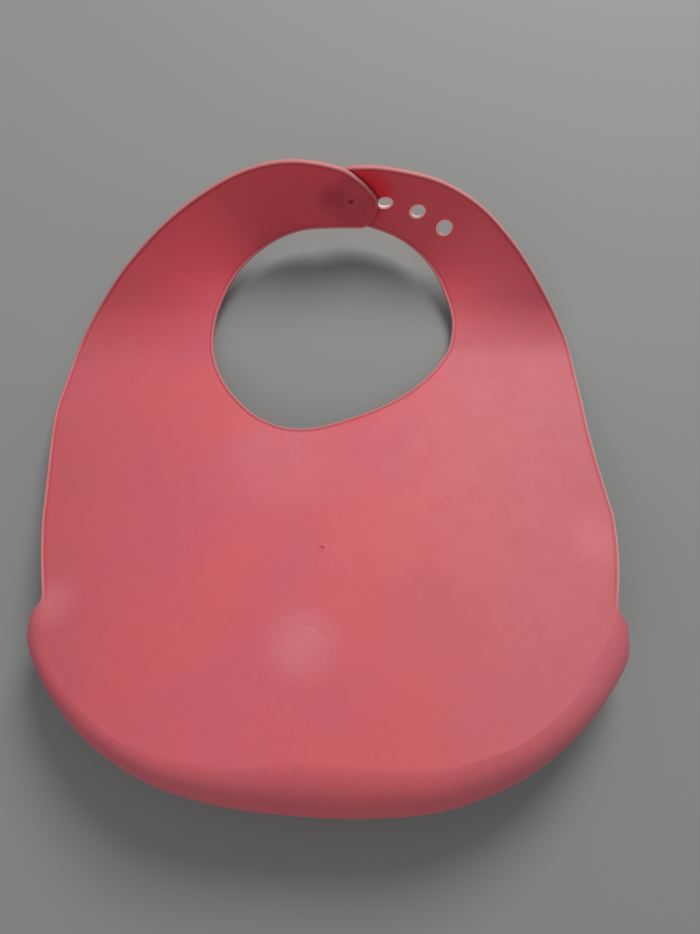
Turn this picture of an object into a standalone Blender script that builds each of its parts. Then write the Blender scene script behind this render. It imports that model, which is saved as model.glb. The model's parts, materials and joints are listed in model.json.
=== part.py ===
"""Silicone baby bib with a catch pocket, buttoned closed and lying face down on the pocket's front wall.

X runs across the bib, +Y points from the pocket to the neck straps, and +Z is up, out of the bib's back.
The bib is one thin moulding. It is cut here, at the places where it flexes, into sections that turn on joints.
Every section is a shell of even thickness about a middle surface, and the edges that are free carry a bead.
The middle surface has four parts: the collar (yoke, shoulders and both straps, a ribbon round the neck opening),
the back panel, the rounded wall of the pocket and the pocket's flat front wall.
"""

import math

import bmesh
import bpy
import numpy as np

MM = 0.001

# Driving dimensions, in millimetres.
SHEET = 2.0  # thickness of the moulded sheet
BEAD = 3.0  # thickness of the bead along a free edge
BEAD_WIDTH = 2.2  # how far the bead reaches in from the edge
CUT = 0.3  # clear space between two sections along their cut
CORNER_CUT = 1.7  # the same where the two sections meet at an angle
WAIST_Y = -20.0  # the line where the bib folds in half
NECK_Y = 62.0  # the line through the middle of the neck opening, where the collar folds up
STUD_CUT, HOLE_CUT = 7.5, 25.0  # stations of the collar where each strap's loose end begins

# The panel slopes down from the pocket to a soft valley beside the neck.
VALLEY_Z, VALLEY_Y = 2.2, 60.0
SLOPE, VALLEY_SOFTNESS = 0.213, 12.0
CROWN, CROWN_HALF_WIDTH = 2.5, 113.0
CROWN_FULL_Y, CROWN_NONE_Y = -20.0, 40.0

# Closure: round holes along the middle of one strap, and a stud on the other that fills the last of them.
HOLE_DIAMETER, HOLE_PITCH, HOLE_COUNT = 6.4, 15.0, 4
FIRST_HOLE_X = 11.2
STEM_DIAMETER, HEAD_DIAMETER = 5.2, 8.0
STEM_START, STEM_END, HEAD_CROWN = 1.3, 5.4, 8.2  # heights above the middle of the stud strap

# The whole model is shifted by this, so that its origin is the middle of its base.
BASE_CENTRE = (-0.5, 1.1, 0.0)

# The collar's stations, from the tip of the stud strap, round the neck opening, to the tip of the hole strap.
# Each is a point on the neck edge and the point across from it on the outer edge.
STUD_SIDE = [
    ((23.9, 119.6, 19.0), (23.8, 122.6, 28.8)),
    ((21.8, 118.7, 15.5), (20.6, 123.8, 32.5)),
    ((17.0, 118.5, 13.4), (14.8, 125.6, 37.6)),
    ((6.0, 119.3, 12.0), (5.0, 127.3, 42.4)),
    ((-10.0, 118.9, 11.2), (-14.0, 129.3, 44.2)),
    ((-21.3, 114.8, 10.8), (-32.0, 128.0, 41.6)),
    ((-31.1, 108.0, 10.0), (-49.8, 121.9, 36.8)),
    ((-40.4, 98.3, 8.5), (-69.6, 110.1, 29.9)),
    ((-46.9, 86.3, 6.3), (-89.4, 94.8, 18.6)),
    ((-50.6, 74.3, 4.5), (-104.5, 78.6, 7.0)),
    ((-51.1, NECK_Y, 3.8), (-112.6, NECK_Y, 2.0)),
    ((-48.8, 51.4, 4.2), (-115.5, 42.0, 3.4)),
    ((-44.2, 41.7, 5.8), (-115.8, 20.0, 8.6)),
    ((-37.6, 32.8, 8.2), (-112.0, WAIST_Y, 17.0)),
]
NECK_BOTTOM = [(-28.7, 24.6), (-16.5, 19.3), (-4.0, 19.4), (9.1, 23.4), (22.6, 29.2)]
HOLE_SIDE = [
    ((35.2, 36.9, 7.0), (115.4, WAIST_Y, 17.0)),
    ((44.7, 45.6, 5.4), (111.8, 15.0, 9.0)),
    ((51.2, 54.1, 4.2), (111.4, 40.0, 3.6)),
    ((55.2, NECK_Y, 3.8), (109.8, NECK_Y, 2.0)),
    ((56.8, 74.0, 4.6), (103.5, 77.1, 7.2)),
    ((54.0, 86.2, 6.5), (93.7, 89.9, 17.0)),
    ((49.6, 96.8, 8.2), (81.9, 102.9, 26.0)),
    ((42.2, 106.9, 9.6), (67.1, 115.6, 33.2)),
    ((32.2, 115.2, 10.3), (49.1, 123.7, 38.6)),
    ((20.2, 120.5, 10.8), (28.0, 128.3, 40.5)),
    ((13.0, 122.1, 11.5), (13.0, 129.4, 40.3)),
    ((6.0, 122.9, 13.2), (6.5, 129.4, 37.8)),
    ((1.0, 124.2, 18.0), (1.0, 128.2, 33.8)),
    ((-0.8, 125.3, 22.0), (-0.8, 127.0, 29.3)),
]
LAST_LEFT = len(STUD_SIDE) - 1  # station at the left end of the waist line
FIRST_RIGHT = LAST_LEFT + len(NECK_BOTTOM) + 1  # station at its right end
LAST = FIRST_RIGHT + len(HOLE_SIDE) - 1
LEFT_NECK, RIGHT_NECK = 10, FIRST_RIGHT + 3  # the stations on the line at NECK_Y
PLAIN_END = 3.0  # stations at each strap's tip that have no bead, so that the straps lie flat on each other
PANEL_REACH = 2.5  # stations over which the collar's surface runs into the panel's below that line

# The pocket's wall, from the left shoulder round the bottom to the right one: where it leaves the back panel,
# where it bulges furthest (with its height there), and where it meets the floor.
WALL = [
    ((-104.0, -55.0), (-110.8, -62.0, 13.0), (-101.5, -66.5)),
    ((-101.8, -67.5), (-108.0, -70.4, 18.5), (-97.5, -74.0)),
    ((-95.3, -79.8), (-101.4, -81.4, 20.0), (-92.0, -83.5)),
    ((-84.4, -91.2), (-90.5, -95.0, 20.0), (-81.5, -93.0)),
    ((-70.1, -101.5), (-76.6, -106.7, 20.0), (-69.0, -101.0)),
    ((-52.2, -108.7), (-58.0, -117.0, 20.0), (-52.5, -107.5)),
    ((-30.5, -111.5), (-35.0, -123.6, 20.0), (-32.0, -112.6)),
    ((-6.0, -110.9), (-8.0, -126.9, 20.0), (-7.5, -115.5)),
    ((17.6, -112.2), (18.7, -127.6, 20.0), (17.5, -116.0)),
    ((41.5, -111.9), (44.0, -125.1, 20.0), (41.0, -114.0)),
    ((63.6, -105.8), (68.2, -116.5, 20.0), (62.5, -107.5)),
    ((77.4, -98.1), (85.7, -105.5, 20.0), (77.5, -98.5)),
    ((88.9, -88.8), (98.1, -94.1, 20.0), (88.5, -88.5)),
    ((96.8, -78.0), (106.5, -83.9, 19.8), (96.5, -80.5)),
    ((103.6, -66.8), (111.6, -74.0, 18.5), (101.5, -75.0)),
    ((108.6, -55.0), (113.4, -63.0, 13.0), (104.5, -67.5)),
]
LAST_WALL = len(WALL) - 1
LEFT_CORNER, RIGHT_CORNER = 4, 10  # wall stations taken as the bottom corners of the two flat patches
LIP_SAG = 5.0  # how far the pocket's mouth dips at its middle
LEFT_BOW, RIGHT_BOW = -0.6, 1.8  # how far the back panel's free sides bow out past a straight line
FREE_SHARE = 0.35  # the share of the back panel's sides that is a free edge, above the pocket
FRONT_Z = SHEET / 2

# Rough lengths of the patches, by which a cut's width in millimetres becomes a share of the patch.
PANEL_LENGTH, PANEL_WIDTH = 90.0, 120.0
WALL_ROUND = 34.0
FRONT_LENGTH, FRONT_WIDTH = 50.0, 140.0

# Where each joint turns, in the frame that the outlines above use.
WAIST_PIVOT = (0.0, WAIST_Y, 26.0)
COLLAR_PIVOT = (0.0, NECK_Y, 7.0)
STRAP_PIVOT_HEIGHT = 2.5  # a strap's end turns about a line this far off its middle surface

ROSE = (0.60, 0.13, 0.15, 1.0)
DEEP_ROSE = (0.46, 0.09, 0.11, 1.0)
ROUGHNESS = 0.55
SHARP_ANGLE = 50  # degrees, between faces that are shaded apart
HOLE_CUTTER_REACH = 6.0


def through(points, u):
    """The point at station u of the smooth curve through the points, one station apart."""
    points = np.asarray(points, float)
    i = int(min(max(math.floor(u), 0), len(points) - 2))
    t = u - i
    before = points[i - 1] if i else 2 * points[0] - points[1]
    after = points[i + 2] if i + 2 < len(points) else 2 * points[-1] - points[-2]
    a, b = points[i], points[i + 1]
    return a + 0.5 * t * (b - before + t * (2 * before - 5 * a + 4 * b - after + t * (3 * (a - b) + after - before)))


def smooth(t):
    t = min(max(t, 0.0), 1.0)
    return t * t * (3 - 2 * t)


def panel_height(x, y):
    """Height of the back panel's middle surface."""
    ramp = SLOPE * VALLEY_SOFTNESS * math.log1p(math.exp((VALLEY_Y - y) / VALLEY_SOFTNESS))
    crown = CROWN * (x / CROWN_HALF_WIDTH) ** 2 * smooth((CROWN_NONE_Y - y) / (CROWN_NONE_Y - CROWN_FULL_Y))
    return VALLEY_Z + ramp - crown


NECK_EDGE = [s[0] for s in STUD_SIDE] + [(x, y, panel_height(x, y)) for x, y in NECK_BOTTOM] + [s[0] for s in HOLE_SIDE]


def outer_edge(u):
    if u <= LAST_LEFT:
        return through([s[1] for s in STUD_SIDE], u)
    if u >= FIRST_RIGHT:
        return through([s[1] for s in HOLE_SIDE], u - FIRST_RIGHT)
    share = (u - LAST_LEFT) / (FIRST_RIGHT - LAST_LEFT)
    left, right = STUD_SIDE[-1][1][0], HOLE_SIDE[0][1][0]
    x = left + share * (right - left)
    return np.array((x, WAIST_Y, panel_height(x, WAIST_Y)))


def collar_point(u, w):
    """A point of the collar's middle surface: w is 0 on the neck edge and 1 on the outer edge."""
    point = (1 - w) * through(NECK_EDGE, u) + w * outer_edge(u)
    into_panel = min(smooth((u - LEFT_NECK) / PANEL_REACH), smooth((RIGHT_NECK - u) / PANEL_REACH))
    point[2] += into_panel * (panel_height(point[0], point[1]) - point[2])
    return point


def shell(grid, thickness):
    """Corners and faces of the closed shell about a grid of points. thickness is one value, or one for each point."""
    grid = np.asarray(grid, float)
    along = np.gradient(grid, axis=0)
    over = np.gradient(grid, axis=1)
    normal = np.cross(along, over)
    normal /= np.linalg.norm(normal, axis=2, keepdims=True)
    half = np.broadcast_to(thickness, grid.shape[:2])[..., None] / 2
    rows, columns = grid.shape[:2]
    corners = np.concatenate([(grid + normal * half).reshape(-1, 3), (grid - normal * half).reshape(-1, 3)])
    under = rows * columns

    def at(i, j):
        return i * columns + j

    faces = []
    for i in range(rows - 1):
        for j in range(columns - 1):
            quad = [at(i, j), at(i + 1, j), at(i + 1, j + 1), at(i, j + 1)]
            faces += [quad, [under + k for k in reversed(quad)]]
    rim = [at(i, 0) for i in range(rows)] + [at(rows - 1, j) for j in range(1, columns)]
    rim += [at(i, columns - 1) for i in range(rows - 2, -1, -1)] + [at(0, j) for j in range(columns - 2, 0, -1)]
    for a, b in zip(rim, rim[1:] + rim[:1]):
        faces.append([b, a, under + a, under + b])
    return corners, faces


def material(name, colour):
    made = bpy.data.materials.new(name)
    made.use_nodes = True
    shader = made.node_tree.nodes["Principled BSDF"]
    shader.inputs["Base Color"].default_value = colour
    shader.inputs["Roughness"].default_value = ROUGHNESS
    shader.inputs["Metallic"].default_value = 0.0
    return made


def pivot_empty(name, pivot, parent=None):
    """An empty on a joint's axis, which carries the pieces that turn there."""
    empty = bpy.data.objects.new(name, None)
    empty.empty_display_size = 10 * MM
    empty["pivot"] = [float(v) for v in pivot]
    start = parent["pivot"] if parent else BASE_CENTRE
    empty.location = [(a - b) * MM for a, b in zip(pivot, start)]
    empty.parent = parent
    bpy.context.collection.objects.link(empty)
    return empty


def piece(name, corners, faces, colour, carrier=None):
    """A named object from corners in millimetres, carried by a joint's empty or fixed."""
    start = np.array(carrier["pivot"] if carrier else BASE_CENTRE)
    mesh = bpy.data.meshes.new(name)
    mesh.from_pydata([tuple(c) for c in (np.asarray(corners) - start) * MM], [], faces)
    bm = bmesh.new()
    bm.from_mesh(mesh)
    bmesh.ops.recalc_face_normals(bm, faces=bm.faces)
    bm.to_mesh(mesh)
    bm.free()
    mesh.shade_smooth()
    mesh.set_sharp_from_angle(angle=math.radians(SHARP_ANGLE))
    made = bpy.data.objects.new(name, mesh)
    made.data.materials.append(material(name + "_silicone", colour))
    made.parent = carrier
    bpy.context.collection.objects.link(made)
    return made


def edge_shares(width, near, far, steps):
    """Where the lines across a strip lie, from 0 to 1, with a narrow strip along each beaded edge."""
    bead = min(BEAD_WIDTH / width, 0.2)
    start = [0.0, bead, 1.6 * bead] if near else [0.0]
    end = [1 - 1.6 * bead, 1 - bead, 1.0] if far else [1.0]
    return start + list(np.linspace(start[-1], end[0], steps + 1)[1:-1]) + end


def collar_section(name, first, last, colour, carrier, steps=3, lines=4):
    """A length of the collar between two stations, with a bead along its neck edge and its free outer edge."""
    length = np.linalg.norm(collar_point(first + 0.1, 0.5) - collar_point(first, 0.5)) * 10
    trim = CUT / 2 / length
    start = first + (trim if first > 0 else 0.0)
    end = last - (trim if last < LAST else 0.0)
    stations = np.linspace(start, end, int(round((last - first) * steps)) + 1)
    grid, thickness = [], []
    for u in stations:
        width = np.linalg.norm(collar_point(u, 1.0) - collar_point(u, 0.0))
        shares = edge_shares(width, True, True, lines)
        bead = SHEET + (BEAD - SHEET) * min(smooth(u / PLAIN_END - 1), smooth((LAST - u) / PLAIN_END - 1))
        beads = [bead, bead] + [SHEET] * (len(shares) - 4) + [bead, bead]
        if LAST_LEFT <= u <= FIRST_RIGHT:
            shares[-1] = 1 - CUT / 2 / width
            beads[-2:] = [SHEET, SHEET]
        grid.append([collar_point(u, w) for w in shares])
        thickness.append(beads)
    corners, faces = shell(grid, np.array(thickness))
    return piece(name, corners, faces, colour, carrier)


def wall_point(t, q):
    """A point of the pocket's wall: t is its station, q is 0 at the back panel, 0.5 at the bulge and 1 at the floor."""
    crease = through([s[0] for s in WALL], t)
    bulge = through([s[1] for s in WALL], t)
    foot = through([s[2] for s in WALL], t)
    turn = math.pi * min(q, 1 - q)
    end, height = (crease, panel_height(*crease)) if q <= 0.5 else (foot, FRONT_Z)
    plan = bulge[:2] + (end - bulge[:2]) * (1 - math.sin(turn))
    return np.array((plan[0], plan[1], bulge[2] + (height - bulge[2]) * math.cos(turn)))


def patch(top, bottom, left, right, shares_down, shares_over):
    """Points of the flat sheet stretched between four edges, each a function of a share from 0 to 1."""
    corner = [[top(0.0), top(1.0)], [bottom(0.0), bottom(1.0)]]
    grid = []
    for b in shares_down:
        row = []
        for a in shares_over:
            between = (1 - b) * top(a) + b * bottom(a) + (1 - a) * left(b) + a * right(b)
            ruled = (1 - b) * ((1 - a) * corner[0][0] + a * corner[0][1])
            ruled = ruled + b * ((1 - a) * corner[1][0] + a * corner[1][1])
            row.append(between - ruled)
        grid.append(row)
    return grid


def back_panel():
    """The flat back of the pocket, from the waist line down to the crease where the pocket's wall begins."""
    top_left, top_right = np.array(STUD_SIDE[-1][1][:2]), np.array(HOLE_SIDE[0][1][:2])
    crease = [s[0] for s in WALL]

    def side(b, start, shoulder, corner, bow):
        if b < FREE_SHARE:
            s = b / FREE_SHARE
            return start + s * (np.array(crease[shoulder]) - start) + np.array((bow * 4 * s * (1 - s), 0.0))
        return through(crease, shoulder + (b - FREE_SHARE) / (1 - FREE_SHARE) * (corner - shoulder))

    down = np.linspace(0, 1, 15)
    down[0], down[-1] = CUT / 2 / PANEL_LENGTH, 1 - CORNER_CUT / 2 / PANEL_LENGTH
    over = np.linspace(0, 1, 13)
    over[0], over[-1] = CORNER_CUT / 2 / PANEL_WIDTH, 1 - CORNER_CUT / 2 / PANEL_WIDTH
    plan = patch(
        lambda a: top_left + a * (top_right - top_left),
        lambda a: through(crease, LEFT_CORNER + a * (RIGHT_CORNER - LEFT_CORNER)),
        lambda b: side(b, top_left, 0, LEFT_CORNER, LEFT_BOW),
        lambda b: side(b, top_right, LAST_WALL, RIGHT_CORNER, RIGHT_BOW),
        down,
        over,
    )
    grid = [[(x, y, panel_height(x, y)) for x, y in row] for row in plan]
    return piece("back_panel", *shell(grid, SHEET), ROSE)


def pocket_wall():
    """The rounded wall of the pocket: both sides and the bottom, in one strip."""
    trim = CORNER_CUT / 2 / WALL_ROUND
    shares = np.linspace(trim, 1 - trim, 9)
    grid = [[wall_point(t, q) for q in shares] for t in np.linspace(0, LAST_WALL, 3 * LAST_WALL + 1)]
    return piece("pocket_wall", *shell(grid, SHEET), ROSE)


def pocket_front():
    """The flat front wall of the pocket, which rests on the floor, with the bead of the pocket's mouth."""
    foot = [s[2] for s in WALL]
    left, right = np.array(foot[0]), np.array(foot[-1])
    trim = CORNER_CUT / FRONT_WIDTH

    def lip(a):
        return left + a * (right - left) + np.array((0.0, -LIP_SAG * 4 * a * (1 - a)))

    over = np.linspace(0, 1, 13)
    over[0], over[-1] = trim, 1 - trim
    plan = patch(
        lip,
        lambda a: through(foot, LEFT_CORNER + a * (RIGHT_CORNER - LEFT_CORNER)),
        lambda b: through(foot, b * LEFT_CORNER),
        lambda b: through(foot, LAST_WALL + b * (RIGHT_CORNER - LAST_WALL)),
        [0.0, 0.25, 0.5, 0.75, 1 - CORNER_CUT / FRONT_LENGTH],
        over,
    )
    grid = [[(x, y, FRONT_Z) for x, y in row] for row in plan]
    return piece("pocket_front", *shell(grid, SHEET), DEEP_ROSE)


def frame_at(u, w):
    """A point of the collar, with the directions along it, across it and out of its visible face."""
    step = 0.05
    at = collar_point(u, w)
    along = collar_point(min(u + step, LAST), w) - collar_point(max(u - step, 0), w)
    over = collar_point(u, 1.0) - collar_point(u, 0.0)
    along, over = along / np.linalg.norm(along), over / np.linalg.norm(over)
    out = np.cross(over, along)
    return at, along, over, out / np.linalg.norm(out)


def hole_stations():
    """Stations of the holes along the middle of the hole strap, one pitch apart, from the one the stud fills."""
    stations = np.linspace(LAST, FIRST_RIGHT, 900)
    line = np.array([collar_point(u, 0.5) for u in stations])
    travelled = np.concatenate([[0], np.cumsum(np.linalg.norm(np.diff(line, axis=0), axis=1))])
    start = travelled[np.argmax(line[:, 0] >= FIRST_HOLE_X)]
    return [float(np.interp(start + k * HOLE_PITCH, travelled, stations)) for k in range(HOLE_COUNT)]


def turned(profile, base, axis, sides=24):
    """Corners and faces of a closed round body: profile holds (height, radius) pairs, from its base to its top."""
    axis = axis / np.linalg.norm(axis)
    first = np.cross(axis, (0.0, 0.0, 1.0))
    first /= np.linalg.norm(first)
    second = np.cross(axis, first)
    corners, faces = [], []
    for height, radius in profile:
        for k in range(sides):
            turn = 2 * math.pi * k / sides
            corners.append(base + axis * height + radius * (first * math.cos(turn) + second * math.sin(turn)))
    for ring in range(len(profile) - 1):
        for k in range(sides):
            a, b = ring * sides + k, ring * sides + (k + 1) % sides
            faces.append([a, b, b + sides, a + sides])
    faces.append(list(range(sides - 1, -1, -1)))
    faces.append([(len(profile) - 1) * sides + k for k in range(sides)])
    return corners, faces


def closure_stud(carrier):
    """The mushroom stud under the stud strap, whose stem stands in the last hole of the other strap."""
    at, _, _, out = frame_at(hole_stations()[0], 0.5)
    stations = np.linspace(0, 4, 400)
    line = np.array([collar_point(u, 0.5) for u in stations])
    root = line[np.argmin(np.linalg.norm(np.cross(line - at, out), axis=1))]
    stem, head = STEM_DIAMETER / 2, HEAD_DIAMETER / 2
    crown = HEAD_CROWN - STEM_END
    profile = [(STEM_START, stem), (STEM_END, stem), (STEM_END, head)]
    profile += [(STEM_END + crown * math.sin(a), head * math.cos(a)) for a in np.radians((20, 40, 60, 78))]
    return piece("closure_stud", *turned(profile, root, -out), DEEP_ROSE, carrier)


def cut_holes(strap, carrier):
    for number, u in enumerate(hole_stations()):
        at, _, _, out = frame_at(u, 0.5)
        ends = [(-HOLE_CUTTER_REACH, HOLE_DIAMETER / 2), (HOLE_CUTTER_REACH, HOLE_DIAMETER / 2)]
        corners, faces = turned(ends, at, out)
        cutter = piece(f"hole_cutter_{number}", corners, faces, DEEP_ROSE, carrier)
        cutter.hide_render = True
        cutter.display_type = "WIRE"
        cut = strap.modifiers.new(f"hole_{number}", "BOOLEAN")
        cut.object = cutter
        cut.operation = "DIFFERENCE"
        cut.solver = "EXACT"


def strap_pivot(u, side):
    """A point on the line that a strap's end turns about, off its visible face for side 1 and off its back for -1."""
    at, _, _, out = frame_at(u, 0.5)
    return at + side * STRAP_PIVOT_HEIGHT * out


def build():
    for old in list(bpy.data.objects):
        bpy.data.objects.remove(old)
    waist = pivot_empty("waist_fold_axis", WAIST_PIVOT)
    collar = pivot_empty("collar_fold_axis", COLLAR_PIVOT, waist)
    stud_end = pivot_empty("stud_strap_axis", strap_pivot(STUD_CUT, 1), collar)
    hole_end = pivot_empty("hole_strap_axis", strap_pivot(HOLE_CUT, -1), collar)
    pocket_front()
    pocket_wall()
    back_panel()
    collar_section("yoke_panel", LEFT_NECK, RIGHT_NECK, ROSE, waist)
    collar_section("left_shoulder", STUD_CUT, LEFT_NECK, ROSE, collar)
    collar_section("right_shoulder", RIGHT_NECK, HOLE_CUT, ROSE, collar)
    collar_section("stud_strap", 0, STUD_CUT, DEEP_ROSE, stud_end)
    strap = collar_section("hole_strap", HOLE_CUT, LAST, DEEP_ROSE, hole_end)
    cut_holes(strap, hole_end)
    closure_stud(stud_end)


build()
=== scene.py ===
"""The looks of the silicone bib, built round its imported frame.

The real bib is one moulding. So one fine middle surface is made first, from strap to strap round the neck, down
the back and round the pocket. Both faces lie half a thickness off it, with a bead along every free edge, and the
whole is then divided into the pieces that turn and bend with the frame's joints.
Shapes are worked out in millimetres, in the outlines' own frame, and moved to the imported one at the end.
"""

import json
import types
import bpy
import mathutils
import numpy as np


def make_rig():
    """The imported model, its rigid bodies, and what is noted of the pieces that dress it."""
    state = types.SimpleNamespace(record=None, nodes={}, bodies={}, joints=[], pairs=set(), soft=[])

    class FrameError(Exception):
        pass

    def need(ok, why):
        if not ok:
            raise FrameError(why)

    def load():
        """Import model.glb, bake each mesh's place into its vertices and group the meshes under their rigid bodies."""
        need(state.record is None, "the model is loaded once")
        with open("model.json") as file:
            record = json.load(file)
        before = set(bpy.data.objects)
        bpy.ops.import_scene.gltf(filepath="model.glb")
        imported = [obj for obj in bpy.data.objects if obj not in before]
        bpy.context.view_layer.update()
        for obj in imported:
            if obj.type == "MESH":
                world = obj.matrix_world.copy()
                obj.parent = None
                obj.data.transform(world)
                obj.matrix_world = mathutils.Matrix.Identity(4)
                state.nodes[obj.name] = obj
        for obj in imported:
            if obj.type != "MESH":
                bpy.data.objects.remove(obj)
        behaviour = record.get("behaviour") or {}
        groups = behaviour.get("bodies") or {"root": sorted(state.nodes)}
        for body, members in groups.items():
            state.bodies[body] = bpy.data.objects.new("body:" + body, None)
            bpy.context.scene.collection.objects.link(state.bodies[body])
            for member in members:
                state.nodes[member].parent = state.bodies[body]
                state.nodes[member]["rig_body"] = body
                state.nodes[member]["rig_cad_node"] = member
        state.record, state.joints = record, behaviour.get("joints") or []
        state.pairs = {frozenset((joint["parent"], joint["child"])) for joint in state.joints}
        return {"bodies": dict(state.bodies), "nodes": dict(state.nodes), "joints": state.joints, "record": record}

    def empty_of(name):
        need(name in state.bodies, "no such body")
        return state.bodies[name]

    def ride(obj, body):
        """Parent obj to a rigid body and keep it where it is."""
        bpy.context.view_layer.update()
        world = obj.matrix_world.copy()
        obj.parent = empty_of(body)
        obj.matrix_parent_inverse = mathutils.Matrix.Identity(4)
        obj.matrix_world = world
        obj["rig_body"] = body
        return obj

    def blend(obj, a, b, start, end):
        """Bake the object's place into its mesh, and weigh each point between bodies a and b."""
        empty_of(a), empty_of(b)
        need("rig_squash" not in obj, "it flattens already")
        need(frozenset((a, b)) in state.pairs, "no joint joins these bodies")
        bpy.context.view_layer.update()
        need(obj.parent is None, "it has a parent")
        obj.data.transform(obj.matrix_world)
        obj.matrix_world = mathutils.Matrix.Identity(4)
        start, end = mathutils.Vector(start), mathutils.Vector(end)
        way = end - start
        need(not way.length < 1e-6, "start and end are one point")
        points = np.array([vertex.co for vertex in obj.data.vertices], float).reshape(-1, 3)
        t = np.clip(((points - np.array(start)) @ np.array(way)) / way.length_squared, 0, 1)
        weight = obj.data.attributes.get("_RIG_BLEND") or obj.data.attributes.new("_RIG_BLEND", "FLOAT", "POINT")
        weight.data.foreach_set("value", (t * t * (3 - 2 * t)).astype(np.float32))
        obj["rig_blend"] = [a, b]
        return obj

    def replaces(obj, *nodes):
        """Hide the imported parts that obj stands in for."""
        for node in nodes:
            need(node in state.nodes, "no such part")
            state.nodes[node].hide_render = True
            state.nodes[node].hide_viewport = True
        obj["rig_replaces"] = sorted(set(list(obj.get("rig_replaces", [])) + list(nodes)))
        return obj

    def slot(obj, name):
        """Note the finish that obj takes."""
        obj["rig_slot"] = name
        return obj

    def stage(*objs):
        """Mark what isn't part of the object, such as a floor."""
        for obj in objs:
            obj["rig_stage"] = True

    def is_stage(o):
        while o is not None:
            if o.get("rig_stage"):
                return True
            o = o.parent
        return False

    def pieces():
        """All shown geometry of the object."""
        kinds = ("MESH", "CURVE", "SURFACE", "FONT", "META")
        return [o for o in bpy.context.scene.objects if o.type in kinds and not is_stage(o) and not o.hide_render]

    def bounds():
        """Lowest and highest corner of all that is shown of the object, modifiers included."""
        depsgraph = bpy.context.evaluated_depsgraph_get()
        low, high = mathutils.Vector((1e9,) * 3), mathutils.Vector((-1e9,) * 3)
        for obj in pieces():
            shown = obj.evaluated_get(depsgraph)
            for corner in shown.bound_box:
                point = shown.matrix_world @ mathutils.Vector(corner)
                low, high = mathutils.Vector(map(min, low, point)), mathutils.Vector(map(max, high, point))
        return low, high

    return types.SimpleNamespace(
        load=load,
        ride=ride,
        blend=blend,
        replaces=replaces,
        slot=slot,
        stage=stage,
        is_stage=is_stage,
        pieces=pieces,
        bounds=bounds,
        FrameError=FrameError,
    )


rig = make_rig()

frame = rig.load()

import json
import math

import bmesh
import bpy
import numpy as np
from mathutils import Vector
from mathutils.kdtree import KDTree

cad_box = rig.bounds()
JOINTS = {joint["name"]: joint for joint in frame["joints"]}
MM = 0.001
FAR = 1e3  # a distance in millimetres beyond everything
CHUNK = 500  # points measured at a time

# Outline of the bib: stations along the collar, from the stud strap's tip round the neck to the hole strap's.
# Each is a point on the neck edge and the point across from it.
WAIST_Y, NECK_Y = -20.0, 62.0
STUD_SIDE = [
    ((22.3, 119.9, 19.6), (22.8, 122.6, 28.6)),
    ((19.9, 118.8, 15.6), (19.8, 123.6, 32.1)),
    ((16.0, 118.4, 13.3), (14.5, 125.3, 37.1)),
    ((6.0, 119.3, 12.0), (5.0, 127.3, 42.4)),
    ((-10.0, 118.9, 11.2), (-14.0, 129.3, 44.2)),
    ((-21.3, 114.8, 10.8), (-32.0, 128.0, 41.6)),
    ((-31.1, 108.0, 10.0), (-49.8, 121.9, 36.8)),
    ((-40.4, 98.3, 8.5), (-69.6, 110.1, 29.9)),
    ((-46.9, 86.3, 6.3), (-89.4, 94.8, 18.6)),
    ((-50.6, 74.3, 4.5), (-104.5, 78.6, 7.0)),
    ((-51.1, NECK_Y, 3.8), (-112.6, NECK_Y, 2.0)),
    ((-48.8, 51.4, 4.2), (-115.5, 42.0, 3.4)),
    ((-44.2, 41.7, 5.8), (-115.8, 20.0, 8.6)),
    ((-37.6, 32.8, 8.2), (-112.0, WAIST_Y, 17.0)),
]
NECK_BOTTOM = [(-28.7, 24.6), (-16.5, 19.3), (-4.0, 19.4), (9.1, 23.4), (22.6, 29.2)]
HOLE_SIDE = [
    ((35.2, 36.9, 7.0), (115.4, WAIST_Y, 17.0)),
    ((44.7, 45.6, 5.4), (111.8, 15.0, 9.0)),
    ((51.2, 54.1, 4.2), (111.4, 40.0, 3.6)),
    ((55.2, NECK_Y, 3.8), (109.8, NECK_Y, 2.0)),
    ((56.8, 74.0, 4.6), (103.5, 77.1, 7.2)),
    ((54.0, 86.2, 6.5), (93.7, 89.9, 17.0)),
    ((49.6, 96.8, 8.2), (81.9, 102.9, 26.0)),
    ((42.2, 106.9, 9.6), (67.1, 115.6, 33.2)),
    ((32.2, 115.2, 10.3), (49.1, 123.7, 38.6)),
    ((20.2, 120.5, 10.8), (28.0, 128.3, 40.5)),
    ((13.0, 122.1, 11.5), (13.0, 129.4, 40.3)),
    ((6.0, 122.9, 13.2), (6.5, 129.4, 37.8)),
    ((1.0, 124.2, 18.0), (1.0, 128.2, 33.8)),
    ((-0.8, 125.3, 22.0), (-0.8, 127.0, 29.3)),
]
LAST_LEFT = len(STUD_SIDE) - 1
FIRST_RIGHT = LAST_LEFT + len(NECK_BOTTOM) + 1
LAST = FIRST_RIGHT + len(HOLE_SIDE) - 1
LEFT_NECK, RIGHT_NECK = 10, FIRST_RIGHT + 3
PANEL_REACH = 2.5  # stations over which the collar's height becomes the back panel's

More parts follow.
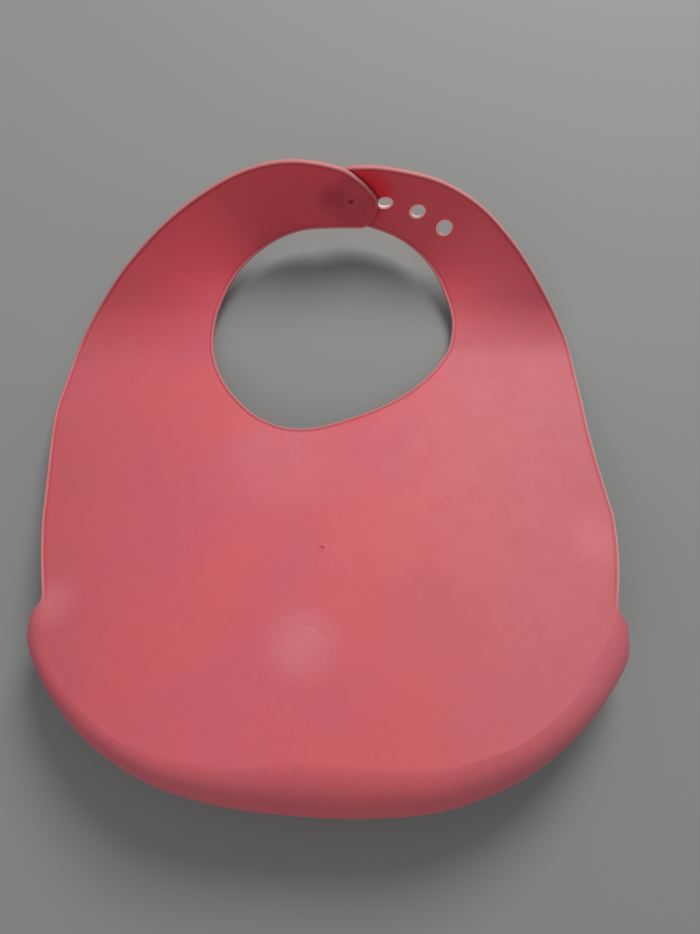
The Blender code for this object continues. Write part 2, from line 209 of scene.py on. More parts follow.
# The pocket's wall: where it leaves the back panel, where it bulges furthest, and where it meets the floor.
WALL = [
    ((-104.0, -55.0), (-110.8, -62.0, 13.0), (-101.5, -66.5)),
    ((-101.8, -67.5), (-108.0, -70.4, 18.5), (-97.5, -74.0)),
    ((-95.3, -79.8), (-101.4, -81.4, 20.0), (-92.0, -83.5)),
    ((-84.4, -91.2), (-90.5, -95.0, 20.0), (-81.5, -93.0)),
    ((-70.1, -101.5), (-76.6, -106.7, 20.0), (-69.0, -101.0)),
    ((-52.2, -108.7), (-58.0, -117.0, 20.0), (-52.5, -107.5)),
    ((-30.5, -111.5), (-35.0, -123.6, 20.0), (-32.0, -112.6)),
    ((-6.0, -110.9), (-8.0, -126.9, 20.0), (-7.5, -115.5)),
    ((17.6, -112.2), (18.7, -127.6, 20.0), (17.5, -116.0)),
    ((41.5, -111.9), (44.0, -125.1, 20.0), (41.0, -114.0)),
    ((63.6, -105.8), (68.2, -116.5, 20.0), (62.5, -107.5)),
    ((77.4, -98.1), (85.7, -105.5, 20.0), (77.5, -98.5)),
    ((88.9, -88.8), (98.1, -94.1, 20.0), (88.5, -88.5)),
    ((96.8, -78.0), (106.5, -83.9, 19.8), (96.5, -80.5)),
    ((104.4, -68.2), (112.5, -74.8, 18.5), (102.0, -76.0)),
    ((109.3, -58.6), (114.8, -65.2, 13.5), (105.5, -69.3)),
]
CREASE = [s[0] for s in WALL]
BULGE = [s[1] for s in WALL]
FOOT = [s[2] for s in WALL]
LEFT_CORNER, RIGHT_CORNER, LAST_WALL = 4, 10, len(WALL) - 1
FREE_SHARE = 0.35  # share of the back panel's sides that is a free edge, above the pocket
LEFT_BOW, RIGHT_BOW = -0.6, 1.5
LIP_SAG = 5.0  # how far the pocket's mouth sags on the floor

# The back panel's height.
VALLEY_Z, VALLEY_Y = 2.2, 60.0
SLOPE, VALLEY_SOFTNESS = 0.213, 12.0
CROWN, CROWN_HALF_WIDTH = 2.5, 113.0
CROWN_NONE_Y = 40.0

# Where the outlines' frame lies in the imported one, from the joint on the waist line.
SHIFT = np.array(JOINTS["waist_fold"]["pos_m"]) / MM
SHIFT = np.array((SHIFT[0], SHIFT[1] - WAIST_Y, 0.0))

# The moulded sheet, in section.
HALF = 1.0  # half its thickness
BEAD_HALF, BEAD_ROUND = 1.35, 0.7  # half the bead's height, and how far in its round outer side reaches
BEAD_END, GROOVE_END = 1.5, 2.6  # where the bead's inner side ends, and the shallow groove after it
GROOVE_HALF = 0.86
EDGE_STEPS = (0.0, 0.06, 0.2, 0.42, 0.7, 0.95, 1.2, 1.5, 1.9, 2.3, 2.7)  # lines of points along a free edge

# Strap holes and the stud that fills the first.
HOLE_RADIUS, HOLE_PITCH, HOLE_COUNT, FIRST_HOLE_X = 3.2, 15.0, 4, 11.2
# The taut strap pulls its holes a little. A stretch is a hole's longer and shorter axis, as shares of its
# radius, and the longer one's turn from the strap. A slip is how far past its pitch the hole lies, and a
# share is how far across the strap.
HOLE_STRETCH = ((1.0, 0.92, 0.0), (1.04, 0.70, 31.0), (1.01, 0.76, 51.0), (1.0, 0.85, 74.0))
HOLE_SLIP = (0.0, 0.5, 0.9, 0.2)
HOLE_SHARE = (0.5, 0.465, 0.49, 0.49)
HOLE_WALL, HOLE_LIP, HOLE_ROUND, HOLE_LIP_END = 0.5, 1.15, 0.5, 1.4
HOLE_LIP_REACH, HOLE_STATIONS = 2.0, 2  # how far a hole's lip is looked for, in millimetres and in stations
HOLE_RINGS = (0.0, 0.05, 0.15, 0.3, 0.5, 0.75, 1.05, 1.4, 1.9)
STEM_RADIUS, HEAD_RADIUS = 2.6, 4.0
STEM_START, STEM_END, BRIM, HEAD_CROWN = 1.3, 5.4, 5.85, 8.2
STUD_SIDES = 48

# Where the free edge is rounded off: how softly, how far along it, and how far in the change fades.
SOFT_SIGMA, SOFT_REACH, SOFT_FADE, SOFT_NEAR = 2.2, 10.0, 9.0, 0.03
# Averaging of the normals: its reach, and how far from the crease and from the pocket's shoulders it is done.
STEADY_REACH, STEADY_CREASE, STEADY_SHOULDER = 1.6, 2.5, 7.0
CREASE_SAMPLES = 300

# Where the bead runs out: middle, a station of the same stretch of edge, reach and fade.
BEADLESS = [((-108.5, -59.5, 18.0), 16.5, 6.0, 8.0), ((113.5, -62.5, 18.0), 16.5, 6.0, 8.0)]
BEADLESS += [((22.5, 119.5, 18.5), 0.0, 3.0, 6.0)]

# Small marks in the back panel: the pit of the moulding gate and a faint pressed ring.
GATE = (-0.3, -34.7)
RING = (-6.6, -74.9)
RING_RADIUS, RING_HALF_WIDTH, RING_DEPTH = 10.3, 0.3, 0.09
RING_FADE = 4.0  # the ring fades out this far either side of its middle, and its lower half is gone
GATE_PIT, GATE_PIT_RADIUS = 0.5, 0.65
GATE_RIM, GATE_RIM_RADIUS, GATE_RIM_WIDTH = 0.16, 1.1, 0.4
DIMPLE_DEPTH, DIMPLE_ALONG, DIMPLE_ACROSS = 1.05, 1.25, 0.8  # the dimple over the stud
CREASE_RIDGE, RIDGE_WIDTH = 0.08, 1.3  # the soft ridge along the pocket's crease
RIDGE_START_Y, RIDGE_FADE = -68, 25

PANEL_LOW_Z, RIDGE_LOW_Z = 10, 20  # heights that part the back panel from what lies under it

# Radii of the rings of points round the holes and marks, and how far from the middle the plain grid starts.
HOLE_BLOCK = 5.9
DIMPLE_BLOCK, DIMPLE_RINGS = 3.2, (0.2, 0.4, 0.6, 0.8, 1.0, 1.2, 1.5, 2.0)
GATE_BLOCK, GATE_RINGS = 3.0, (0.2, 0.4, 0.6, 0.8, 1.0, 1.2, 1.6, 2.2)
RING_BLOCK, RING_RINGS = 13.5, (2.0, 4.0, 6.0, 8.0, 9.3, 9.8, 10.05, 10.3, 10.55, 10.8, 11.3, 12.3)

# The camera's place, tilt in degrees and lens.
CAMERA, CAMERA_TILT, LENS = (10.444, -87.946, 288.0), 18, 26.98

# The joints across the straps, and where the pieces part, in stations of the collar. A stretch either side of
# each joint bends, and the pieces part outside it.
STUD_CUT, HOLE_CUT = 7.5, 25.0
BEND_REACH = 12
WAIST_BEND, COLLAR_BEND = (-45, 5), (50, 74)
STUD_PART, LEFT_PART, RIGHT_PART, HOLE_PART = 8.6, 12.0, 20.0, 23.6

# How finely the sheet is divided.
ROWS_PER_STATION = 10
INNER_COLUMNS = 26
TIP_STATIONS, TIP_ROWS = 0.12, 6  # extra cross lines at each strap's end
CREASE_LENGTH, CREASE_ROWS = 66.0, 26
FREE_ROWS, WALL_ROWS = 14, 28
OTHER_STRETCH = 10  # stations apart from which two places belong to different stretches of the bib


def through(points, u):
    """The point at station u of the smooth curve through the points, one station apart."""
    points = np.asarray(points, float)
    i = int(min(max(math.floor(u), 0), len(points) - 2))
    t = u - i
    before = points[i - 1] if i else 2 * points[0] - points[1]
    after = points[i + 2] if i + 2 < len(points) else 2 * points[-1] - points[-2]
    a, b = points[i], points[i + 1]
    cubic = 3 * (a - b) + after - before
    return a + 0.5 * t * (b - before + t * (2 * before - 5 * a + 4 * b - after + t * cubic))


def smooth(t):
    t = np.clip(t, 0.0, 1.0)
    return t * t * (3 - 2 * t)


def unit(v):
    return v / np.linalg.norm(v)


def panel_height(x, y):
    ramp = SLOPE * VALLEY_SOFTNESS * math.log1p(math.exp((VALLEY_Y - y) / VALLEY_SOFTNESS))
    crown = CROWN * (x / CROWN_HALF_WIDTH) ** 2 * smooth((CROWN_NONE_Y - y) / (CROWN_NONE_Y - WAIST_Y))
    return VALLEY_Z + ramp - crown


NECK_EDGE = [s[0] for s in STUD_SIDE]
NECK_EDGE += [(x, y, panel_height(x, y)) for x, y in NECK_BOTTOM]
NECK_EDGE += [s[0] for s in HOLE_SIDE]
STUD_OUTER, HOLE_OUTER = [s[1] for s in STUD_SIDE], [s[1] for s in HOLE_SIDE]
TIP_ROUND = 0.8  # how far each strap's end is rounded out past its last station
STUD_TIP_WAY = unit(np.mean(STUD_SIDE[0], axis=0) - np.mean(STUD_SIDE[1], axis=0))
HOLE_TIP_WAY = unit(np.mean(HOLE_SIDE[-1], axis=0) - np.mean(HOLE_SIDE[-2], axis=0))


def outer_edge(u):
    if u <= LAST_LEFT:
        return through(STUD_OUTER, u)
    if u >= FIRST_RIGHT:
        return through(HOLE_OUTER, u - FIRST_RIGHT)
    share = (u - LAST_LEFT) / (FIRST_RIGHT - LAST_LEFT)
    left, right = STUD_OUTER[-1][0], HOLE_OUTER[0][0]
    x = left + share * (right - left)
    return np.array((x, WAIST_Y, panel_height(x, WAIST_Y)))


def collar_point(u, w):
    """A point of the collar's middle surface: w is 0 on the neck edge and 1 on the outer edge."""
    point = (1 - w) * through(NECK_EDGE, u) + w * outer_edge(u)
    into_panel = min(smooth((u - LEFT_NECK) / PANEL_REACH), smooth((RIGHT_NECK - u) / PANEL_REACH))
    point[2] += into_panel * (panel_height(point[0], point[1]) - point[2])
    bulge = TIP_ROUND * 4 * w * (1 - w)
    if u < 1:
        point += bulge * (1 - u) ** 2 * STUD_TIP_WAY
    elif u > LAST - 1:
        point += bulge * (u - LAST + 1) ** 2 * HOLE_TIP_WAY
    return point


def wall_point(t, q):
    """A point of the pocket's wall: t is its station, q is 0 at the back panel and 1 at the floor."""
    bulge = through(BULGE, t)
    turn = math.pi * min(q, 1 - q)
    if q <= 0.5:
        end = through(CREASE, t)
        height = panel_height(*end)
    else:
        end, height = through(FOOT, t), HALF
    plan = bulge[:2] + (end - bulge[:2]) * (1 - math.sin(turn))
    return np.array((plan[0], plan[1], bulge[2] + (height - bulge[2]) * math.cos(turn)))


def between_edges(top, bottom, left, right, b, a):
    """A point of the flat sheet stretched between four edges."""
    edges = (1 - b) * top(a) + b * bottom(a) + (1 - a) * left(b) + a * right(b)
    ruled = (1 - b) * ((1 - a) * top(0.0) + a * top(1.0)) + b * ((1 - a) * bottom(0.0) + a * bottom(1.0))
    return edges - ruled


def bottom_station(a):
    return LEFT_CORNER + a * (RIGHT_CORNER - LEFT_CORNER)


def panel_side(start, shoulder, corner, bow):
    """One side of the back panel: free above the pocket, then along the pocket's crease."""
    start = np.array(start[:2])

    def at(b):
        if b < FREE_SHARE:
            s = b / FREE_SHARE
            return start + s * (np.array(CREASE[shoulder]) - start) + np.array((bow * 4 * s * (1 - s), 0.0))
        return through(CREASE, shoulder + (b - FREE_SHARE) / (1 - FREE_SHARE) * (corner - shoulder))

    return at


LEFT_SIDE = panel_side(STUD_OUTER[-1], 0, LEFT_CORNER, LEFT_BOW)
RIGHT_SIDE = panel_side(HOLE_OUTER[0], LAST_WALL, RIGHT_CORNER, RIGHT_BOW)


def panel_point(b, a):
    """A point of the back panel: b runs from the waist line to the pocket's crease, a from left to right."""
    left, right = np.array(STUD_OUTER[-1][:2]), np.array(HOLE_OUTER[0][:2])
    x, y = between_edges(
        lambda s: left + s * (right - left),
        lambda s: through(CREASE, bottom_station(s)),
        LEFT_SIDE,
        RIGHT_SIDE,
        b,
        a,
    )
    return np.array((x, y, panel_height(x, y)))


def front_point(b, a):
    """A point of the pocket's front wall, on the floor: b runs from the pocket's mouth to its bottom."""
    left, right = np.array(FOOT[0]), np.array(FOOT[-1])
    x, y = between_edges(
        lambda s: left + s * (right - left) + np.array((0.0, -LIP_SAG * 4 * s * (1 - s))),
        lambda s: through(FOOT, bottom_station(s)),
        lambda s: through(FOOT, s * LEFT_CORNER),
        lambda s: through(FOOT, LAST_WALL + s * (RIGHT_CORNER - LAST_WALL)),
        b,
        a,
    )
    return np.array((x, y, HALF))


def slopes(surface, p, q, step=0.004):
    """How the surface's point moves for a change of each of its two shares."""
    return (
        (surface(p + step, q) - surface(p - step, q)) / (2 * step),
        (surface(p, q + step) - surface(p, q - step)) / (2 * step),
    )


def shares_of(surface, target, p, q):
    """The two shares at which the surface is closest over a point given by x and y."""
    for _ in range(12):
        over_p, over_q = slopes(surface, p, q)
        miss = np.array(target) - surface(p, q)[:2]
        change = np.linalg.solve(np.array((over_p[:2], over_q[:2])).T, miss)
        p, q = p + change[0], q + change[1]
    return p, q


def hole_stations():
    """Stations of the holes along the hole strap, about one pitch apart, from the one that the stud fills."""
    stations = np.linspace(LAST, FIRST_RIGHT, 900)
    line = np.array([collar_point(u, 0.5) for u in stations])
    travelled = np.concatenate([[0], np.cumsum(np.linalg.norm(np.diff(line, axis=0), axis=1))])
    start = travelled[np.argmax(line[:, 0] >= FIRST_HOLE_X)]
    places = [start + k * HOLE_PITCH + HOLE_SLIP[k] for k in range(HOLE_COUNT)]
    return [float(np.interp(place, travelled, stations)) for place in places]


def frame_at(u, w):
    """A point of the collar, with the directions along it, across it and out of its visible face."""
    along, over = slopes(collar_point, u, w)
    out = unit(np.cross(over, along))
    return collar_point(u, w), unit(along), unit(over), out


HOLES = [(u, *frame_at(u, share)) for u, share in zip(hole_stations(), HOLE_SHARE)]
STUD_AXIS = HOLES[0][4]


def stud_root():
    """Where the stud's axis meets the stud strap's middle line: its station there, and the point."""
    stations = np.linspace(0, 4, 400)
    line = np.array([collar_point(u, 0.5) for u in stations])
    off = np.linalg.norm(np.cross(line - HOLES[0][1], STUD_AXIS), axis=1)
    return float(stations[np.argmin(off)]), line[np.argmin(off)]


STUD_STATION, STUD_ROOT = stud_root()


def hole_radius(along, across, stretch):
    """A strap hole's radius in a direction given by its two parts, along the strap and across it."""
    longer, shorter, turn = stretch
    cos, sin = math.cos(math.radians(turn)), math.sin(math.radians(turn))
    on_longer, on_shorter = along * cos + across * sin, across * cos - along * sin
    return HOLE_RADIUS / np.sqrt((on_longer / longer) ** 2 + (on_shorter / shorter) ** 2)


class Sheet:
    """The middle surface as one mesh, with each point's station and each face's part."""

    def __init__(self):
        self.bm = bmesh.new()
        self.station = self.bm.verts.layers.float.new("station")
        self.ring = self.bm.verts.layers.int.new("ring")
        self.part = self.bm.faces.layers.int.new("part")

    def point(self, place, station, ring=0):
        made = self.bm.verts.new(place)
        made[self.station] = station
        made[self.ring] = ring
        return made

    def face(self, corners, part, flip):
        made = self.bm.faces.new(corners[::-1] if flip else corners)
        made[self.part] = part

    def grid(self, surface, rows, columns, part, station, flip=False, rounds=()):
        """Adds surface(p, q) for each row's p and its own q values, with rings of points in its rounds."""
        shares = [[(p, q) for q in columns(p)] for p in rows]
        points = [[self.point(surface(p, q), station(p)) for p, q in row] for row in shares]
        taken = set()
        for centre, reach, radii, stretch in rounds:
            taken |= self.round(surface, shares, points, centre, reach, radii, stretch, part, station, flip)
        for i in range(len(rows) - 1):
            for j in range(len(shares[0]) - 1):
                if (i, j) not in taken:
                    quad = [points[i][j], points[i][j + 1], points[i + 1][j + 1], points[i + 1][j]]
                    self.face(quad, part(rows[i]), flip)

    def round(self, surface, shares, points, centre, reach, radii, stretch, part, station, flip):
        """Replaces a block of the grid by rings about a centre: an open hole if it has a stretch."""
        p, q = centre
        middle = surface(p, q)
        over_p, over_q = slopes(surface, p, q)
        out = unit(np.cross(over_q, over_p))
        first = unit(over_p)
        second = np.cross(out, first)
        to_mm = np.array(((over_p @ first, over_q @ first), (over_p @ second, over_q @ second)))
        to_share = np.linalg.inv(to_mm)
        row_p = np.array([row[0][0] for row in shares])
        span = abs(to_share @ np.array((reach, 0)))[0]
        top, bottom = np.searchsorted(row_p, p - span) - 1, np.searchsorted(row_p, p + span)
        row_q = np.array([s[1] for s in shares[(top + bottom) // 2]])
        span = abs(to_share @ np.array((0, reach)))[1]
        left, right = np.searchsorted(row_q, q - span) - 1, np.searchsorted(row_q, q + span)
        loop = [(i, left) for i in range(top, bottom)] + [(bottom, j) for j in range(left, right)]
        loop += [(i, right) for i in range(bottom, top, -1)] + [(top, j) for j in range(right, left, -1)]
        offsets = [to_mm @ (np.array(shares[i][j]) - centre) for i, j in loop]
        rings = []
        for number, radius in enumerate(radii):
            ring = []
            for offset in offsets:
                reached = radius + (hole_radius(*unit(offset), stretch) - HOLE_RADIUS if stretch else 0.0)
                place = surface(*(np.array(centre) + to_share @ (reached * unit(offset))))
                from_axis = (place - middle) - ((place - middle) @ out) * out
                place = place + from_axis * (reached / np.linalg.norm(from_axis) - 1)
                ring.append(self.point(place, station(p), int(bool(stretch) and number == 0)))
            rings.append(ring)
        rings.append([points[i][j] for i, j in loop])
        count = len(loop)
        for inner, outer in zip(rings, rings[1:]):
            for k in range(count):
                quad = [outer[(k + 1) % count], outer[k], inner[k], inner[(k + 1) % count]]
                self.face(quad, part(p), flip)
        if not stretch:
            hub = self.point(middle, station(p))
            for k in range(count):
                self.face([rings[0][(k + 1) % count], rings[0][k], hub], part(p), flip)
        return {(i, j) for i in range(top, bottom) for j in range(left, right)}


STUD_PIECE, LEFT_PIECE, BACK_PIECE, RIGHT_PIECE, HOLE_PIECE, WALL_PIECE, FRONT_PIECE = range(7)


def collar_part(u):
    limits = (STUD_PART, LEFT_PART, RIGHT_PART, HOLE_PART)
    return sum(u >= limit - 1e-6 for limit in limits)


def collar_rows():
    """Stations of the collar's cross lines, closer at the tips and where the back panel's sides begin."""
    rows = {round(k / ROWS_PER_STATION, 6) for k in range(LAST * ROWS_PER_STATION + 1)}
    near_tip = [k * TIP_STATIONS / TIP_ROWS for k in range(1, TIP_ROWS)]
    rows |= set(near_tip) | {LAST - step for step in near_tip}
    for share in panel_columns():
        rows.add(round(LAST_LEFT + share * (FIRST_RIGHT - LAST_LEFT), 6))
    return sorted(rows)


def panel_columns():
    """Shares across the back panel, closer together at its two sides."""
    width = HOLE_OUTER[0][0] - STUD_OUTER[-1][0]
    near = [d / width for d in EDGE_STEPS]
    count = (FIRST_RIGHT - LAST_LEFT) * ROWS_PER_STATION
    inner = [k / count for k in range(count + 1) if near[-1] < k / count < 1 - near[-1]]
    return near + inner + [1 - s for s in reversed(near)]


def collar_columns(u):
    """Shares across the collar, closer together at both edges, where the bead is."""
    neck, outer = collar_point(u, 0.0), collar_point(u, 1.0)
    width = np.linalg.norm(outer - neck)
    reaches = []
    for w in (0.0, 1.0):
        low, high = max(u - 0.02, 0.0), min(u + 0.02, LAST)
        edge = unit(collar_point(high, w) - collar_point(low, w))
        slant = max(np.linalg.norm(np.cross(edge, (outer - neck) / width)), 0.4)
        reach = np.array(EDGE_STEPS) / slant / width
        reaches.append(reach * min(1.0, 0.36 / reach[-1]))
    inner = np.linspace(reaches[0][-1], 1 - reaches[1][-1], INNER_COLUMNS + 2)[1:-1]
    return [*reaches[0], *inner, *(1 - reaches[1][::-1])]


def crease_shares():
    """Shares down the pocket's sides, closer together at the mouth."""
    near = [d / CREASE_LENGTH for d in EDGE_STEPS]
    return near + list(np.linspace(near[-1], 1.0, CREASE_ROWS + 1)[1:])


def middle_surface():
    sheet = Sheet()
    rings = [HOLE_RADIUS + r for r in HOLE_RINGS]
    rounds = [
        ((hole[0], share), HOLE_BLOCK, rings, stretch)
        for hole, share, stretch in zip(HOLES, HOLE_SHARE, HOLE_STRETCH)
    ]
    rounds.append(((STUD_STATION, 0.5), DIMPLE_BLOCK, DIMPLE_RINGS, None))
    sheet.grid(collar_point, collar_rows(), collar_columns, collar_part, lambda u: u, False, rounds)
    middle = (LAST_LEFT + FIRST_RIGHT) / 2
    down, columns = crease_shares(), panel_columns()
    free = [FREE_SHARE * k / FREE_ROWS for k in range(FREE_ROWS)]
    rows = free + [FREE_SHARE + s * (1 - FREE_SHARE) for s in down]
    gate, ring = shares_of(panel_point, GATE, 0.2, 0.5), shares_of(panel_point, RING, 0.6, 0.5)
    rounds = [(gate, GATE_BLOCK, GATE_RINGS, None), (ring, RING_BLOCK, RING_RINGS, None)]
    sheet.grid(panel_point, rows, lambda b: columns, lambda b: BACK_PIECE, lambda b: middle, True, rounds)
    left = [s * LEFT_CORNER for s in down]
    bottom = [bottom_station(a) for a in columns[1:-1]]
    right = [LAST_WALL + s * (RIGHT_CORNER - LAST_WALL) for s in reversed(down)]
    around = list(np.linspace(0, 1, WALL_ROWS + 1))
    sheet.grid(wall_point, left + bottom + right, lambda t: around, lambda t: WALL_PIECE, lambda t: middle)
    sheet.grid(front_point, down, lambda b: columns, lambda b: FRONT_PIECE, lambda b: middle)
    bmesh.ops.delete(sheet.bm, geom=[v for v in sheet.bm.verts if not v.link_faces], context="VERTS")
    bmesh.ops.remove_doubles(sheet.bm, verts=sheet.bm.verts, dist=0.01)
    sheet.bm.verts.index_update()
    return sheet


def face_normals(points, faces):
    """Each face's normal times its area."""
    out = np.zeros((len(faces), 3))
    for i, face in enumerate(faces):
        p = points[list(face)]
        if len(face) == 4:
            out[i] = np.cross(p[2] - p[0], p[3] - p[1]) / 2
        else:
            out[i] = np.cross(p[1] - p[0], p[2] - p[0]) / 2
    return out


def corner_normals(points, faces):
    """Each point's normal, from the faces round it."""
    out = np.zeros_like(points)
    for face, normal in zip(faces, face_normals(points, faces)):
        for k in face:
            out[k] += normal
    return out / np.maximum(np.linalg.norm(out, axis=1, keepdims=True), 1e-12)


def edge_distance(points, stations, starts, ends, edge_stations):
    """Distance from each point to the free edge, leaving out the other strap's where they overlap."""
    nearest = np.full(len(points), FAR)
    way = ends - starts
    length2 = np.einsum("ij,ij->i", way, way)
    for low in range(0, len(points), CHUNK):
        p = points[low : low + CHUNK, None, :] - starts[None]
        along = np.clip(np.einsum("ijk,jk->ij", p, way) / length2, 0, 1)
        gap = np.linalg.norm(p - along[..., None] * way[None], axis=2)
        far = abs(stations[low : low + CHUNK, None] - edge_stations[None]) > OTHER_STRETCH
        nearest[low : low + CHUNK] = np.where(far, FAR, gap).min(axis=1)
    return nearest


def softened(points, stations, rim):
    """The points with the free edge rounded off at the pocket's shoulders and the strap tips."""
    ends = np.unique(rim)
    edge = points[ends]
    weight = np.zeros(len(points))
    lengths = np.linalg.norm(points[rim[:, 0]] - points[rim[:, 1]], axis=1)
    np.add.at(weight, rim.ravel(), np.repeat(lengths / 2, 2))
    tips = [(0.0, collar_point(0.0, 0.5)), (LAST, collar_point(LAST, 0.5))]
    shoulders = [(stations.mean(), wall_point(t, 0.0)) for t in (0, LAST_WALL)]
    out = points.copy()
    for station, place in tips + shoulders:
        from_place = np.linalg.norm(edge - place, axis=1)
        near = (from_place < 2 * SOFT_REACH) & (abs(stations[ends] - station) < OTHER_STRETCH)
        mine = edge[near]
        gap = np.linalg.norm(mine[:, None] - mine[None], axis=2)
        share = np.exp(-((gap / SOFT_SIGMA) ** 2) / 2) * weight[ends][near]
        change = (share @ mine) / share.sum(axis=1, keepdims=True) - mine
        change *= smooth(1.4 - from_place[near] / SOFT_REACH)[:, None]
        around = np.linalg.norm(points - place, axis=1) < SOFT_REACH + SOFT_FADE
        around &= abs(stations - station) < OTHER_STRETCH
        which = np.where(around)[0]
        gap = np.linalg.norm(points[which][:, None] - mine[None], axis=2)
        pull = 1 / (gap + SOFT_NEAR) ** 3
        moved = (pull @ change) / pull.sum(axis=1, keepdims=True)
        out[which] += moved * smooth(1 - gap.min(axis=1) / SOFT_FADE)[:, None]
    return out


def steadied(points, normals):
    """The normals near the pocket's crease, averaged so that neither face folds at the bend."""
    tree = KDTree(len(points))
    for k, point in enumerate(points):
        tree.insert(point, k)
    tree.balance()
    chosen = set()
    for t in np.linspace(0, LAST_WALL, CREASE_SAMPLES):
        reach = STEADY_SHOULDER if t < 0.5 or t > LAST_WALL - 0.5 else STEADY_CREASE
        chosen |= {k for _, k, _ in tree.find_range(wall_point(t, 0.0), reach)}
    out = normals.copy()
    for k in chosen:
        near = tree.find_range(points[k], STEADY_REACH)
        out[k] = unit(sum((1 - gap / STEADY_REACH) * normals[i] for _, i, gap in near))
    return out


def bead_share(points, stations):
    """How much of the bead there is: none at the pocket's shoulders and low on the stud strap's tip."""
    share = np.ones(len(points))
    for place, station, reach, soft in BEADLESS:
        gap = np.linalg.norm(points - place, axis=1)
        share *= 1 - np.where(abs(stations - station) < OTHER_STRETCH, smooth((reach + soft - gap) / soft), 0)
    return share


def rim_half(d, share):
    """Half the sheet's thickness at a distance from a free edge: bead, shallow groove, then plain sheet."""
    inward = (BEAD_ROUND - np.minimum(d, BEAD_ROUND)) / BEAD_ROUND
    bead = BEAD_HALF * np.sqrt(np.clip(1 - inward**2, 0, 1))
    fall = smooth((d - BEAD_ROUND) / (BEAD_END - BEAD_ROUND))
    rise = smooth((d - BEAD_END) / (GROOVE_END - BEAD_END))
    beaded = bead - fall * (BEAD_HALF - GROOVE_HALF) + rise * (HALF - GROOVE_HALF)
    return share * beaded + (1 - share) * bead * HALF / BEAD_HALF


def hole_half(d):
    """The same round a strap hole, which has a straight wall, a rounded rim and a low lip."""
    rim = np.sqrt(np.clip(1 - ((HOLE_ROUND - np.minimum(d, HOLE_ROUND)) / HOLE_ROUND) ** 2, 0, 1))
    fall = smooth((d - HOLE_ROUND) / (HOLE_LIP_END - HOLE_ROUND))
    return HOLE_WALL + (HOLE_LIP - HOLE_WALL) * rim - (HOLE_LIP - HALF) * fall


def pressed(points):
    """How far the visible face is pressed in or raised by its small marks."""
    off = np.zeros(len(points))
    from_stud = points - STUD_ROOT
    along = from_stud @ HOLES[0][2]
    flat = from_stud - np.outer(from_stud @ STUD_AXIS, STUD_AXIS) - np.outer(along, HOLES[0][2])
    across = np.linalg.norm(flat, axis=1)
    off -= DIMPLE_DEPTH * np.exp(-((along / DIMPLE_ALONG) ** 2 + (across / DIMPLE_ACROSS) ** 2) ** 1.5)
    x, y = points[:, 0], points[:, 1]
    panel = points[:, 2] > PANEL_LOW_Z
    gate = np.hypot(x - GATE[0], y - GATE[1])
    gate_rim = GATE_RIM * np.exp(-(((gate - GATE_RIM_RADIUS) / GATE_RIM_WIDTH) ** 2))
    off += np.where(panel, gate_rim - GATE_PIT * np.exp(-((gate / GATE_PIT_RADIUS) ** 3)), 0)
    ring = np.hypot(x - RING[0], y - RING[1]) - RING_RADIUS
    upper = smooth((y - RING[1] + RING_FADE) / (2 * RING_FADE))
    off += np.where(panel, -RING_DEPTH * upper * np.exp(-((ring / RING_HALF_WIDTH) ** 2)), 0)
    low = np.where((y < RIDGE_START_Y) & (points[:, 2] > RIDGE_LOW_Z))[0]
    crease = np.array([wall_point(t, 0.0) for t in np.linspace(0, LAST_WALL, CREASE_SAMPLES)])
    gap = np.linalg.norm(points[low][:, None] - crease[None], axis=2).min(axis=1)
    ridge = CREASE_RIDGE * np.exp(-((gap / RIDGE_WIDTH) ** 2))
    off[low] += ridge * smooth((RIDGE_START_Y - y[low]) / RIDGE_FADE)
    return off


def both_faces(sheet):
    """The closed moulding: its points, their data, its faces, and for each middle point its two places."""
    bm = sheet.bm
    points = np.array([v.co for v in bm.verts], float)
    stations = np.array([v[sheet.station] for v in bm.verts])
    ring = np.array([v[sheet.ring] for v in bm.verts], bool)
    faces = [[v.index for v in f.verts] for f in bm.faces]
    parts = [f[sheet.part] for f in bm.faces]
    edges = np.array([[v.index for v in e.verts] for e in bm.edges if e.is_boundary])
    rim = edges[~ring[edges].all(axis=1)]
    points = softened(points, stations, rim)
    normals = steadied(points, corner_normals(points, faces))
    from_rim = edge_distance(points, stations, points[rim[:, 0]], points[rim[:, 1]], stations[rim[:, 0]])
    from_hole = np.full(len(points), FAR)
    for (u, at, along, _, out), stretch in zip(HOLES, HOLE_STRETCH):
        off = points - at
        way = np.stack([off @ along, off @ np.cross(out, along)], axis=1)
        away = np.linalg.norm(way, axis=1)
        gap = away - hole_radius(way[:, 0] / away, way[:, 1] / away, stretch)
        from_hole = np.where(abs(stations - u) < HOLE_STATIONS, np.minimum(from_hole, gap), from_hole)
    bead = bead_share(points, stations)
    half = np.where(from_hole < HOLE_LIP_REACH, hole_half(from_hole), rim_half(from_rim, bead))
    on_rim = np.zeros(len(points), bool)
    on_rim[rim.ravel()] = True
    half[on_rim] = 0.0
    count = len(points)
    under = np.where(on_rim, np.arange(count), np.arange(count) + count)
    outside = points + normals * (half + pressed(points) * ~on_rim)[:, None]
    inside = points - normals * half[:, None]
    for face_points in (outside, inside):  # the bead of the pocket's mouth is flat on the floor
        face_points[:, 2] = np.maximum(face_points[:, 2], 0.0)
    return {
        "points": np.concatenate([outside, inside]),
        "under": under,
        "faces": faces,
        "parts": parts,
        "from_rim": np.tile(from_rim, 2),
        "from_hole": np.tile(from_hole, 2),
        "bead": np.tile(bead, 2),
        "hole_side": np.tile((stations > FIRST_RIGHT).astype(float), 2),
        "hole_edges": {tuple(e) for e in edges[ring[edges].all(axis=1)]},
    }


